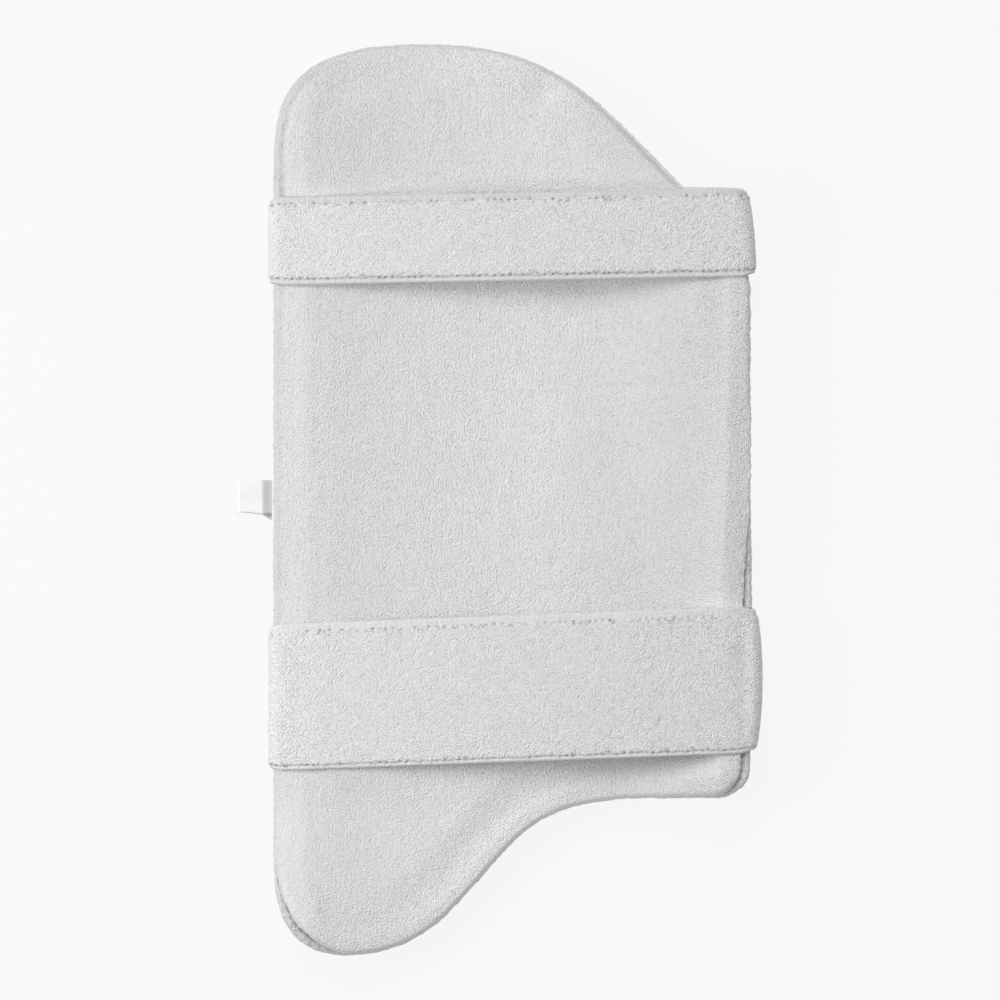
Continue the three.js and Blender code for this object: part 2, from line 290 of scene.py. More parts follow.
class Field:
    """A value that varies over a surface: one socket, whose arithmetic adds Math nodes."""

    def __init__(self, paint: "Paint", socket: bpy.types.NodeSocket) -> None:
        """Wraps a socket of a paint's node tree."""
        self.paint = paint
        self.socket = socket

    def _math(self, operation: str, first: "Field | float", second: "Field | float") -> "Field":
        """Adds one Math node."""
        return self.paint.node("ShaderNodeMath", {"operation": operation}, {0: first, 1: second})

    def __add__(self, other: "Field | float") -> "Field":
        """Field plus other."""
        return self._math("ADD", self, other)

    __radd__ = __add__

    def __sub__(self, other: "Field | float") -> "Field":
        """Field minus other."""
        return self._math("SUBTRACT", self, other)

    def __rsub__(self, other: float) -> "Field":
        """Other minus field."""
        return self._math("SUBTRACT", other, self)

    def __mul__(self, other: "Field | float") -> "Field":
        """Field times other."""
        return self._math("MULTIPLY", self, other)

    __rmul__ = __mul__


class Paint:
    """A material's node tree, all of whose nodes come from one method."""

    def __init__(self, name: str) -> None:
        """Starts a material with an empty tree."""
        self.material = bpy.data.materials.new(name)
        self.material.use_nodes = True
        self.tree = self.material.node_tree
        self.tree.nodes.clear()

    def node(self, kind: str, settings: dict, inputs: dict, output: int | str = 0) -> Field | None:
        """Adds a node.

        Args:
            kind: the node's type.
            settings: the node's own options, which are set first.
            inputs: a value or a field for each socket, by its name or number.
            output: the socket that is returned.

        Returns:
            The node's output, if it has any.
        """
        node = self.tree.nodes.new(kind)
        for name, value in settings.items():
            setattr(node, name, value)
        for key, value in inputs.items():
            if isinstance(value, Field):
                self.tree.links.new(value.socket, node.inputs[key])
            else:
                node.inputs[key].default_value = value
        return Field(self, node.outputs[output]) if node.outputs else None

    def place(self, size: float | Sequence[float], turn: float = 0.0) -> Field:
        """A point's place in the frame.

        Args:
            size: the length that counts as one, or one for each axis.
            turn: how far the axes are turned about Z first, in degrees.

        Returns:
            The place.
        """
        place = self.node("ShaderNodeTexCoord", {}, {}, "Object")
        if turn:
            inputs = {"Vector": place, "Angle": math.radians(turn)}
            place = self.node("ShaderNodeVectorRotate", {"rotation_type": "Z_AXIS"}, inputs)
        sizes = (size, size, size) if isinstance(size, float) else size
        scale = tuple(1.0 / (MM * length) for length in sizes)
        return self.node("ShaderNodeVectorMath", {"operation": "MULTIPLY"}, {0: place, 1: scale})

    def noise(self, size: float | Sequence[float], detail: float = 2.0, turn: float = 0.0) -> Field:
        """Soft random lumps, from 0 to 1, of one size or of a size for each axis."""
        inputs = {"Vector": self.place(size, turn), "Scale": 1.0, "Detail": detail, "Roughness": 0.6}
        return self.node("ShaderNodeTexNoise", {}, inputs)

    def cells(self, size: float | Sequence[float], turn: float = 0.0) -> Field:
        """The distance from the middle of the nearest of many scattered cells."""
        inputs = {"Vector": self.place(size, turn), "Scale": 1.0}
        return self.node("ShaderNodeTexVoronoi", {"feature": "F1"}, inputs, "Distance")

    def stripes(self, direction: str, size: float) -> Field:
        """Even ridges, from 0 to 1.

        Args:
            direction: the axis that they follow one another along.
            size: the width of one ridge.

        Returns:
            The ridges.
        """
        settings = {"wave_type": "BANDS", "bands_direction": direction, "wave_profile": "SIN"}
        inputs = {"Vector": self.place(size), "Scale": math.tau / 20.0}
        return self.node("ShaderNodeTexWave", settings, inputs, "Fac")

    def attribute(self, name: str) -> Field:
        """A number kept for each point of the mesh."""
        return self.node("ShaderNodeAttribute", {"attribute_name": name}, {}, "Fac")

    def between(self, share: Field, low: float, high: float) -> Field:
        """Stretches a field so that low becomes 0 and high becomes 1."""
        inputs = {"Value": share, "From Min": low, "From Max": high}
        return self.node("ShaderNodeMapRange", {"clamp": True}, inputs)

    def mix(self, share: Field, first: Field | Colour, second: Field | Colour) -> Field:
        """Goes from the first colour to the second as share goes from 0 to 1."""
        return self.node("ShaderNodeMix", {"data_type": "RGBA"}, {0: share, 6: first, 7: second}, 2)

    def with_painted_shade(self, colour: Field, shade: float) -> Field:
        """Darkens a colour by the painted shade kept on each point."""
        return self.mix(self.attribute("painted_shade") * shade, colour, grey(0.0))

    def cloth(self, colour: Field, height: Field, look: "ClothLook") -> bpy.types.Material:
        """Finishes the material.

        Args:
            colour: the colour over the surface.
            height: the fine relief, from 0 to 1.
            look: the constant numbers of the cloth.

        Returns:
            The material.
        """
        bump = {"Strength": 1.0, "Distance": look.relief * MM, "Height": height}
        inputs = {
            "Base Color": colour,
            "Roughness": look.roughness,
            "Sheen Weight": look.sheen,
            "Sheen Roughness": 0.5,
            "Specular IOR Level": look.specular,
            "Normal": self.node("ShaderNodeBump", {}, bump),
        }
        surface = self.node("ShaderNodeBsdfPrincipled", {}, inputs)
        self.node("ShaderNodeOutputMaterial", {}, {"Surface": surface})
        return self.material


@dataclass(frozen=True)
class ClothLook:
    """The constant numbers of a cloth: its shine and the depth of its fine relief."""

    roughness: float
    sheen: float
    specular: float
    relief: float


@dataclass(frozen=True)
class Towelling:
    """Short looped pile, matt and off-white."""

    # lit is the colour of the loops' tops, deep the painted shade in their hollows.
    lit: Colour = grey(0.98)
    deep: Colour = grey(0.80)
    fleck: Colour = grey(0.44)
    loop: float = 0.8
    fibre: tuple[float, float, float] = (0.42, 0.74, 0.5)
    fibre_turn: float = 45.0
    row: tuple[float, float, float] = (1.2, 12.0, 1.2)
    gap: float = 1.1
    patch: float = 24.0
    # How far one unit of the painted shade attribute darkens the colour.
    painted_shade_strength: float = 0.107
    look: ClothLook = ClothLook(roughness=0.95, sheen=0.1, specular=0.1, relief=1.32)

    def material(self) -> bpy.types.Material:
        """Loops with fibre on them, flatter where worn, with painted shade in the hollows between the loops
        and the painted shade kept on each point.
        """
        paint = Paint("towelling")
        loops = 1.0 - paint.cells(self.loop)
        fibre = paint.noise(self.fibre, turn=self.fibre_turn)
        height = loops * 0.45 + fibre * 0.55 + paint.noise(self.row) * 0.2
        bare = 1.0 - paint.between(paint.noise(self.gap, 0.0), 0.26, 0.36)
        # The colour goes from deep to lit as the loops rise, painting shade into their hollows; a slow
        # random tone is mixed in.
        share = paint.between(height, 0.34, 0.78) * 0.75 + paint.noise(self.patch) * 0.25
        colour = paint.mix(bare * 0.2, paint.mix(share, self.deep, self.lit), self.fleck)
        height = height * (1.0 - paint.attribute("worn"))
        # The painted shade kept on each point darkens the colour.
        return paint.cloth(paint.with_painted_shade(colour, self.painted_shade_strength), height, self.look)


@dataclass(frozen=True)
class CoverCloth:
    """Brush-raised cloth, a little flatter than the towelling."""

    lit: Colour = grey(0.88)
    deep: Colour = grey(0.60)
    nub: float = 1.1
    patch: float = 14.0
    # How far one unit of the painted shade attribute darkens the colour.
    painted_shade_strength: float = 0.14
    look: ClothLook = ClothLook(roughness=0.9, sheen=0.1, specular=0.12, relief=0.8)

    def material(self) -> bpy.types.Material:
        """Small nubs, darker where they are low, which is painted shade, with a slow change of tone, and
        the painted shade kept on each point.
        """
        paint = Paint("cover_cloth")
        height = paint.noise(self.nub, 1.0)
        # Darker where the nubs are low: painted shade; a slow random tone is mixed in.
        share = paint.between(height, 0.3, 0.7) * 0.65 + paint.noise(self.patch) * 0.35
        colour = paint.mix(share, self.deep, self.lit)
        # The painted shade kept on each point darkens the colour.
        return paint.cloth(paint.with_painted_shade(colour, self.painted_shade_strength), height, self.look)


@dataclass(frozen=True)
class PlushElastic:
    """Brush-raised loop elastic with plain selvedges."""

    lit: Colour = grey(0.89)
    deep: Colour = grey(0.78)
    fleck: Colour = grey(0.36)
    # The dark grey of the painted shade in the pits and on the selvedges.
    pit_and_shade: Colour = grey(0.10)
    curl: tuple[float, float, float] = (0.55, 0.74, 0.65)
    curl_turn: float = 40.0
    fibre: float = 0.45
    gap: float = 0.9
    look: ClothLook = ClothLook(roughness=0.92, sheen=0.1, specular=0.12, relief=1.25)

    def material(self) -> bpy.types.Material:
        """Curled pile with dark flecks, darker where the curls are low, which is painted shade; smoother on
        the selvedges, with painted shade on them and in the pits beside them.
        """
        paint = Paint("plush_elastic")
        pile = paint.attribute("pile")
        curls = (1.0 - paint.cells(self.curl, self.curl_turn)) * 0.6 + paint.noise(self.fibre, 1.0) * 0.4
        bare = 1.0 - paint.between(paint.noise(self.gap, 0.0), 0.28, 0.4)
        # Darker where the curls are low: painted shade in their hollows.
        share = paint.between(curls, 0.24, 0.68) * (pile * 0.3 + 0.7)
        colour = paint.mix(bare * pile * 0.22, paint.mix(share, self.deep, self.lit), self.fleck)
        height = curls * (pile * 0.7 + 0.3)
        # Painted shade, kept on each point of the strap, darkens the colour toward dark grey.
        return paint.cloth(paint.mix(paint.attribute("pit_and_shade"), colour, self.pit_and_shade), height, self.look)


@dataclass(frozen=True)
class HookTape:
    """Woven tape with rows of small hooks."""

    lit: Colour = grey(0.80)
    deep: Colour = (0.55, 0.55, 0.56, 1.0)
    warp: float = 0.8
    weft: float = 0.6
    look: ClothLook = ClothLook(roughness=0.6, sheen=0.0, specular=0.3, relief=0.2)

    def material(self) -> bpy.types.Material:
        """A close weave, lighter on the hooks."""
        paint = Paint("hook_tape")
        weave = paint.stripes("X", self.warp) * paint.stripes("Y", self.weft)
        share = weave * 0.4 + paint.attribute("lit") * 0.6
        return paint.cloth(paint.mix(share, self.deep, self.lit), weave, self.look)


@dataclass(frozen=True)
class LabelRibbon:
    """Smooth satin ribbon, blank."""

    lit: Colour = grey(0.79)
    deep: Colour = grey(0.72)
    thread: float = 0.35
    patch: float = 4.0
    look: ClothLook = ClothLook(roughness=0.5, sheen=0.1, specular=0.35, relief=0.03)

    def material(self) -> bpy.types.Material:
        """Fine threads along the ribbon and a faint change of tone."""
        paint = Paint("label_ribbon")
        threads = paint.stripes("Y", self.thread)
        share = threads * 0.4 + paint.noise(self.patch) * 0.6
        return paint.cloth(paint.mix(share, self.deep, self.lit), threads, self.look)


@dataclass(frozen=True)
class Backdrop:
    """A plain pale floor that glows a little, so that shadows on it stay light."""

    base: Colour = grey(0.056)
    glow: Colour = (0.971, 0.981, 1.0, 1.0)
    strength: float = 0.9

    def material(self) -> bpy.types.Material:
        """The floor's material."""
        paint = Paint("backdrop")
        inputs = {
            "Base Color": self.base,
            "Roughness": 1.0,
            "Specular IOR Level": 0.0,
            "Emission Color": self.glow,
            "Emission Strength": self.strength,
        }
        surface = paint.node("ShaderNodeBsdfPrincipled", {}, inputs)
        paint.node("ShaderNodeOutputMaterial", {}, {"Surface": surface})
        return paint.material


class Slot(Enum):
    """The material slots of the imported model."""

    TOWELLING = "towelling"
    COVER = "cover_cloth"
    ELASTIC = "plush_elastic"
    HOOK = "hook_tape"
    LABEL = "label_ribbon"


FINISHES = {
    Slot.TOWELLING: Towelling(),
    Slot.COVER: CoverCloth(),
    Slot.ELASTIC: PlushElastic(),
    Slot.HOOK: HookTape(),
    Slot.LABEL: LabelRibbon(),
}


def settle(piece: bpy.types.Object, finish: bpy.types.Material, node: str) -> None:
    """Gives a piece its finish and its place in the frame.

    Args:
        piece: the piece.
        finish: its material.
        node: the CAD node that it takes the place of.
    """
    piece.data.materials.clear()
    piece.data.materials.append(finish)
    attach(piece, BODY)
    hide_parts(node)
    log.info("%s: %d faces", piece.name, len(piece.data.polygons))


class Stretch(NamedTuple):
    """One stretch of the outline: its end, the rim that shows there, how wide the roll of the back's edge
    is and how far it falls, the handles of a curved one, how much wider the rim is at its middle, and how
    deep a crease follows the edge of the towelling."""

    name: str
    x: float
    y: float
    rim: float
    roll: float
    bevel: float
    out: Span | None = None
    into: Span | None = None
    swell: float = 0.0
    crease: float = 0.0


class Valley(NamedTuple):
    """Where the pad's hollow back is lowest, at one height along the pad, where its right slope ends,
    and how much of a shelf its left slope has."""

    y: float
    start: float
    end: float
    slope_end: float
    shelf: float


@dataclass(frozen=True)
class PadForm:
    """The pad's form: its front, bent to the leg, and its hollowed back."""

    half_width: float = PAD_WIDTH / 2.0
    thickness: float = 20.0
    flat_from: float = -18.0
    flat_to: float = 32.0
    rise: float = 15.0
    hip_valley: Valley = Valley(113.0, 26.0, 30.0, 81.0, 0.4)
    knee_valley: Valley = Valley(-81.0, 54.0, 62.0, 102.0, 0.8)
    past_valleys: float = 0.4
    left_rise: float = 12.4
    right_rise: float = 11.0
    right_curve: float = 1.35
    shelf_end: float = -88.0
    lobe_zone: Span = (-96.0, -190.0)
    lobe_share: float = 0.85

    def front(self, x: Array) -> Array:
        """How far the front has risen at x.

        Args:
            x: places across the pad.

        Returns:
            The rise at each place.
        """
        left = np.maximum(0.0, self.flat_from - x) / (self.flat_from + self.half_width)
        right = np.maximum(0.0, x - self.flat_to) / (self.half_width - self.flat_to)
        return self.rise * (left**2 + right**2)

    def back(self, x: Array, y: Array) -> Array:
        """The height of the hollowed back, which follows the front again in the knee lobe.

        Args:
            x: places across the pad.
            y: places along it.

        Returns:
            The height at each place.
        """
        hip, knee = self.hip_valley, self.knee_valley
        down = np.clip((hip.y - y) / (hip.y - knee.y), -self.past_valleys, 1.0 + self.past_valleys)
        start, end, slope_end = (a + (b - a) * down for a, b in zip(hip[1:4], knee[1:4]))
        shelf_share = hip.shelf + (knee.shelf - hip.shelf) * np.clip(down, 0.0, 1.0)
        even = np.maximum(0.0, start - x) / (start + self.half_width)
        shelf = smoothstep(start, self.shelf_end, x)
        left = even**2 + shelf_share * (shelf - even**2)
        right = np.clip((x - end) / (slope_end - end), 0.0, 1.0)
        rise = self.left_rise * left + self.right_rise * right**self.right_curve
        lobe = self.lobe_share * smoothstep(*self.lobe_zone, y)
        return self.thickness + rise + lobe * (self.front(x) - rise)

    def placed(self, plan: Array, rise: float | Array) -> Array:
        """Points of a plan, at a given rise above the front."""
        height = self.front(plan[..., 0]) + rise
        return np.concatenate([plan, height[..., None]], axis=-1)


@dataclass(frozen=True)
class Stations:
    """Places round the outline: their points, the way inwards, the rim that shows and the back's bevel."""

    point: Array
    inward: Array
    rim: Array
    roll: Array
    bevel: Array
    across: int
    along: int

    def moved(self, row: "Row") -> Array:
        """The places moved in as far as a row of a section says."""
        return self.point + self.inward * (self.rim * row.rim + self.roll * row.roll + row.inset)[:, None]

    def filled(self, loop: Array) -> Array:
        """Fills a loop with points, blended from its four sides.

        Args:
            loop: the loop's points, one for each place.

        Returns:
            A grid of points, the loop's own among them.
        """
        across, along = self.across, self.along
        closed = np.concatenate([loop, loop[:1]])
        left = closed[: along + 1][:, None]
        top = closed[along : along + across + 1][None]
        right = closed[along + across : 2 * along + across + 1][::-1][:, None]
        low = closed[2 * along + across :][::-1][None]
        u = np.linspace(0.0, 1.0, across + 1)[None, :, None]
        v = np.linspace(0.0, 1.0, along + 1)[:, None, None]
        sides = left * (1 - u) + right * u + low * (1 - v) + top * v
        corners = left[:1] * (1 - u) * (1 - v) + right[:1] * u * (1 - v)
        return sides - corners - left[-1:] * (1 - u) * v - right[-1:] * u * v

    def thinned(self, step: int) -> "Stations":
        """Keeps some of the places.

        Args:
            step: one in how many is kept.

        Returns:
            The kept places.
        """
        kept = slice(None, None, step)
        columns = (column[kept] for column in (self.point, self.inward, self.rim, self.roll, self.bevel))
        return Stations(*columns, self.across // step, self.along // step)


@dataclass(frozen=True)
class Outline:
    """The pad's outline at its widest, clockwise, and how it is divided into four sides."""

    stretches: tuple[Stretch, ...] = (
        Stretch("left side, lower", -102.5, -40.0, 1.0, 1.0, 1.2),
        Stretch("left side, middle", -102.5, 55.0, 1.0, 1.0, 1.2),
        Stretch("left side, upper", -102.5, 137.5, 1.2, 1.0, 1.2, crease=1.0),
        Stretch("hip corner", -37.0, 196.0, 1.0, 0.5, 0.6, (0.0, 31.7), (-65.0, 0.0)),
        Stretch("crown", 87.5, 121.0, 2.4, 0.4, 0.4, (63.9, 0.0), (-48.7, 46.9)),
        Stretch("shoulder", 102.5, 88.0, 1.0, 0.55, 1.0, (9.0, -8.7), (0.0, 14.0)),
        Stretch("right side, upper", 102.5, 10.0, 1.0, 0.62, 1.6),
        Stretch("right side, middle", 103.2, -46.0, 4.0, 0.62, 1.6),
        Stretch("right side, lower", 102.5, -115.0, 4.0, 0.62, 1.4),
        Stretch("heel corner", 88.0, -128.2, 1.5, 0.5, 0.7, (0.0, -7.0), (8.0, 0.0), 1.0),
        Stretch("lower edge", 62.0, -128.2, 1.0, 0.4, 0.4),
        Stretch("notch", -17.9, -167.5, 1.0, 0.3, 0.3, (-51.2, 0.0), (22.9, 25.6)),
        Stretch("knee lobe", -72.0, -196.0, 1.2, 0.35, 0.35, (-11.7, -13.1), (29.0, 0.0)),
        Stretch("toe", -102.5, -157.0, 1.6, 0.8, 0.9, (-13.2, 0.0), (0.0, -33.1), 3.0),
    )
    corners: tuple[str, ...] = ("toe", "hip corner", "shoulder", "heel corner")
    samples: int = 160
    turn_length: float = 14.0

    def traced(self) -> Array:
        """Samples the outline closely.

        Returns:
            For each sample its x and y, the way inwards, the rim, the roll, the bevel and the crease.
        """
        points, edges = [], []
        share = np.linspace(0.0, 1.0, self.samples, endpoint=False)[:, None]
        rest = 1.0 - share
        last = self.stretches[-1]
        for stretch in self.stretches:
            start = np.array([last.x, last.y])
            end = np.array([stretch.x, stretch.y])
            first = start + (stretch.out or (end - start) / 3.0)
            second = end + (stretch.into or (start - end) / 3.0)
            middle = first * rest + second * share
            points.append(start * rest**3 + 3.0 * middle * rest * share + end * share**3)
            before, after = (np.array([*each[3:6], each.crease]) for each in (last, stretch))
            edge = before + (after - before) * smoothstep(0.0, 1.0, share)
            edge[:, :1] += stretch.swell * 4.0 * share * rest
            edges.append(edge)
            last = stretch
        line = np.concatenate(points)
        ahead = unit(np.roll(line, -1, axis=0) - np.roll(line, 1, axis=0))
        inward = np.stack([ahead[:, 1], -ahead[:, 0]], axis=-1)
        return np.concatenate([line, inward, np.concatenate(edges)], axis=1)

    def nearest(self, points: Array) -> tuple[Array, Array]:
        """Finds the sample that is nearest to each point in plan.

        Args:
            points: the points.

        Returns:
            The number of each point's sample, and how far off it is.
        """
        line = self.traced()[:, :2]
        tree = KDTree(len(line))
        for k, (x, y) in enumerate(line):
            tree.insert((x, y, 0.0), k)
        tree.balance()
        found = np.array([tree.find((x, y, 0.0))[1:] for x, y, _ in points])
        return found[:, 0].astype(int), found[:, 1]

    def stations(self, across: int, along: int) -> Stations:
        """Spreads places round the outline, closer together where it turns.

        Args:
            across: how many on the top and the lower side.
            along: how many on the left and the right side.

        Returns:
            The places, starting at the first corner.
        """
        names = [stretch.name for stretch in self.stretches]
        marks = [int((names.index(name) + 0.5) * self.samples) for name in self.corners]
        table = np.roll(self.traced(), -marks[0], axis=0)
        table = np.concatenate([table, table[:1]])
        turn = np.linalg.norm(np.diff(table[:, 2:4], axis=0), axis=1)
        run = run_along(table[:, :2]) + np.concatenate([[0.0], np.cumsum(self.turn_length * turn)])
        ends = [run[(mark - marks[0]) % (len(run) - 1)] for mark in marks] + [run[-1]]
        counts = (along, across, along, across)
        wanted = [np.linspace(ends[k], ends[k + 1], counts[k], endpoint=False) for k in range(4)]
        found = np.stack([np.interp(np.concatenate(wanted), run, column) for column in table.T], axis=-1)
        return Stations(found[:, :2], unit(found[:, 2:4]), *found[:, 4:7].T, across, along)


class Row(NamedTuple):
    """One row of a shell's section.

    It lies in from the outline by a share of the rim, a width of the back's roll and some millimetres more,
    and rises above the front, less where the back has a bevel.
    """

    rim: float
    roll: float
    inset: float
    rise: float
    drop: float = 0.0


def close_coarsely(skin: Skin, form: PadForm, stations: Stations, ring: Array, row: Row, step: int) -> None:
    """Closes a shell by a coarse grid, where it is hidden or smooth.

    Args:
        skin: the shell's faces.
        form: the pad's form.
        stations: the places of its last ring.
        ring: the numbers of that ring's points.
        row: the section's row for the coarse grid's edge.
        step: how many edges of the ring meet one edge of the grid.
    """
    few = stations.thinned(step)
    numbers = skin.add(form.placed(few.filled(few.moved(row)), row.rise))
    skin.quads(numbers)
    edge = np.concatenate([numbers[:-1, 0], numbers[-1, :-1], numbers[:0:-1, -1], numbers[0, :0:-1]])
    for k in range(len(edge)):
        outer = [ring[(k * step + i) % len(ring)] for i in range(step + 1)]
        skin.face([*outer, edge[(k + 1) % len(edge)], edge[k]])


class Dent(NamedTuple):
    """A shallow mark in the pile: its middle, its half lengths along X and Y, and its depth."""

    x: float
    y: float
    half_x: float
    half_y: float
    depth: float


class StrapEdgeLight(NamedTuple):
    """Painted light along a strap's upper edge, where the strap shades the pad: the edge's height at the
    middle, its climb, from where to where along it the painted light begins, and how far it reaches above
    and below the edge."""

    y: float
    climb: float
    begins: Span
    above: float = 3.6
    below: Span = (-25.0, -5.0)

    def share(self, x: Array, y: Array) -> Array:
        """How much painted light there is, most at the edge and less the further above it.

        Args:
            x: places across the pad.
            y: places along it.

        Returns:
            A share for each place, from 0 to 1.
        """
        over = y - self.y - self.climb * x
        near = np.exp(-np.maximum(over, 0.0) / self.above) * smoothstep(*self.below, over)
        return near * smoothstep(*self.begins, x)


@dataclass(frozen=True)
class PadBody:
    """The foam with its towelling back, rolled over at the edge and sewn down along the rim."""

    form: PadForm
    outline: Outline
    across: int = 40
    along: int = 84
    hidden_step: int = 4
    section: tuple[Row, ...] = (
        Row(1.0, 15.0, 0.0, 20.0),
        Row(1.0, 10.5, 0.0, 20.0, 0.9),
        Row(1.0, 6.0, -0.1, 20.0, 2.1),
        Row(1.05, 1.4, -0.5, 20.0, 3.4),
        Row(1.2, 0.2, -1.2, 14.5, 0.4),
        Row(1.27, 0.0, -1.42, 13.2),
        Row(1.2, 0.0, -1.0, 12.7),
        Row(1.0, 0.0, 0.6, 12.2),
        Row(1.0, 0.0, 1.4, 10.6),
        Row(1.0, 0.0, 1.6, 2.9),
    )
    firmness: tuple[float, ...] = (0.4, 0.3, 0.15, 0.0, 0.0, 0.2, 0.5, 1.0, 1.0, 1.0)
    middle_firmness: float = 0.55
    hidden: Row = Row(1.0, 0.0, 9.0, 2.7)
    blend: Span = (8.0, 26.0)
    sewn_row: int = 6
    stitch_every: int = 2
    cloth_mass: float = 0.2
    cloth_steps: int = 4
    hold_stiffness: float = 3.0
    pressure: float = 3.0
    frames: int = 20
    most_swell: float = 0.7
    lumps: tuple[Lumps, ...] = (
        Lumps(1, 0.22, 27.0),
        Lumps(2, 0.12, 8.0),
        Lumps(3, 0.09, 2.6),
        Lumps(4, 0.07, (1.9, 6.0, 3.0)),
    )
    side_lumps: Lumps = Lumps(5, 0.42, 1.8)
    side_rise: Span = (13.0, 18.0)
    crease_inset: float = 4.2
    crease_width: float = 1.0
    crease_depth: float = 1.3
    crease_share: float = 0.8
    crease_lumps: Lumps = Lumps(6, 0.5, 3.0)
    # Painted shade by x: most near the left and right edges, none in the middle, standing in for how light
    # falls on the back's slopes.
    painted_shade: tuple[Span, ...] = (
        (-93.0, 1.3),
        (-84.0, 1.45),
        (-60.0, 0.9),
        (-20.0, 0.2),
        (10.0, 0.0),
        (40.0, 0.55),
        (75.0, 1.2),
        (95.0, 0.95),
    )
    # Painted shade everywhere, which leaves room for painted light.
    even_painted_shade: float = 0.85
    # More painted shade toward the hip end.
    hip_painted_shade: float = 0.1
    hip_zone: Span = (120.0, 150.0)
    # Painted light in the knee lobe, more toward the right.
    lobe_painted_light: tuple[Span, ...] = ((0.0, 0.0), (70.0, -0.35))
    lobe_zone: Span = (-80.0, -125.0)
    # Painted shade on the outermost few millimetres of the left edge.
    edge_painted_shade: float = 1.1
    edge_zone: Span = (5.0, 1.5)
    left_zone: Span = (-80.0, -92.0)
    # Painted light just above each strap's upper edge, where the strap shades the pad.
    strap_edge_lights: tuple[StrapEdgeLight, ...] = (
        StrapEdgeLight(132.0, 0.019, (-98.0, -84.0)),
        StrapEdgeLight(-49.7, 0.037, (-60.0, 40.0)),
    )
    strap_edge_painted_light: float = -1.6
    worn: tuple[Span, ...] = ((-92.0, 0.4), (-84.0, 0.16), (-20.0, 0.0), (80.0, 0.1))
    knee_worn: float = 0.25
    knee_zone: Span = (-115.0, -140.0)
    dents: tuple[Dent, ...] = (
        Dent(14.0, 176.0, 8.0, 7.0, 2.3),
        Dent(55.0, -111.0, 26.0, 12.0, 2.6),
        Dent(17.6, -30.0, 0.9, 4.5, 0.5),
        Dent(46.0, 49.0, 16.0, 0.8, 0.4),
        Dent(38.0, 36.0, 13.0, 0.7, 0.35),
        Dent(30.0, 13.0, 12.0, 0.8, 0.35),
    )

    def _hollowed(self, points: Array, plan: Array, edge: Array) -> Array:
        """Moves points of the back to its hollow form, more the further in they are.

        Args:
            points: the points, at the pad's even thickness.
            plan: their places on the flat outline.
            edge: the outline.

        Returns:
            The moved points.
        """
        depth = np.linalg.norm(plan[..., None, :] - edge, axis=-1).min(axis=-1)
        share = smoothstep(*self.blend, depth)
        moved = points.copy()
        moved[..., 2] += share * (self.form.back(points[..., 0], points[..., 1]) - points[..., 2])
        return moved

    def coarse(self) -> tuple[bpy.types.Object, Array]:
        """Makes the form before the cloth swells.

        Returns:
            Its object, and how firmly each point is held.
        """
        stations = self.outline.stations(self.across, self.along)
        skin = Skin()
        loops = [stations.moved(row) for row in self.section]
        rings = []
        for loop, row in zip(loops, self.section):
            points = self.form.placed(loop, row.rise - row.drop * stations.bevel)
            rings.append(skin.add(self._hollowed(points, loop, stations.point)))
        skin.quads(np.stack(rings), closed=True)
        inside = stations.filled(loops[0])[1:-1, 1:-1]
        points = self._hollowed(self.form.placed(inside, self.section[0].rise), inside, stations.point)
        numbers = np.empty((self.along + 1, self.across + 1), int)
        numbers[1:-1, 1:-1] = skin.add(points)
        top, right = self.along, self.along + self.across
        ring = np.append(rings[0], rings[0][0])
        numbers[:, 0] = ring[: top + 1]
        numbers[-1] = ring[top : right + 1]
        numbers[:, -1] = ring[right : right + self.along + 1][::-1]
        numbers[0] = ring[right + self.along :][::-1]
        skin.quads(numbers)
        close_coarsely(skin, self.form, stations, rings[-1], self.hidden, self.hidden_step)
        held = np.full(skin.count, 1.0)
        held[numbers] = self.middle_firmness
        for ring, firmness in zip(rings, self.firmness):
            held[ring] = firmness
        held[rings[self.sewn_row][:: self.stitch_every]] = 1.0
        return skin.made("pad_towelling"), held

    def swell(self, pad: bpy.types.Object, held: Array) -> None:
        """Presses the towelling out between its stitches, by a cloth simulation.

        Args:
            pad: the coarse pad.
            held: how firmly each point is held, from 0 to 1.
        """
        start = points_of(pad.data)
        group = pad.vertex_groups.new(name="held")
        for firmness in np.unique(held[held > 0.0]):
            group.add(np.flatnonzero(held == firmness).tolist(), float(firmness), "REPLACE")
        cloth = pad.modifiers.new("swell", "CLOTH")
        cloth.settings.quality = self.cloth_steps
        cloth.settings.mass = self.cloth_mass
        cloth.settings.use_pressure = True
        cloth.settings.uniform_pressure_force = self.pressure
        cloth.settings.vertex_group_mass = group.name
        cloth.settings.pin_stiffness = self.hold_stiffness
        cloth.settings.effector_weights.gravity = 0.0
        cloth.collision_settings.use_collision = False
        for step in range(1, self.frames + 1):
            bpy.context.scene.frame_set(step)
        swollen = pad.evaluated_get(bpy.context.evaluated_depsgraph_get()).to_mesh()
        move = points_of(swollen) - start
        far = np.linalg.norm(move, axis=1, keepdims=True)
        log.info("towelling swells by up to %.2f mm", far.max())
        pad.modifiers.remove(cloth)
        bpy.context.scene.frame_set(1)
        move_points(pad.data, start + move * np.minimum(1.0, self.most_swell / np.maximum(far, 1e-6)))

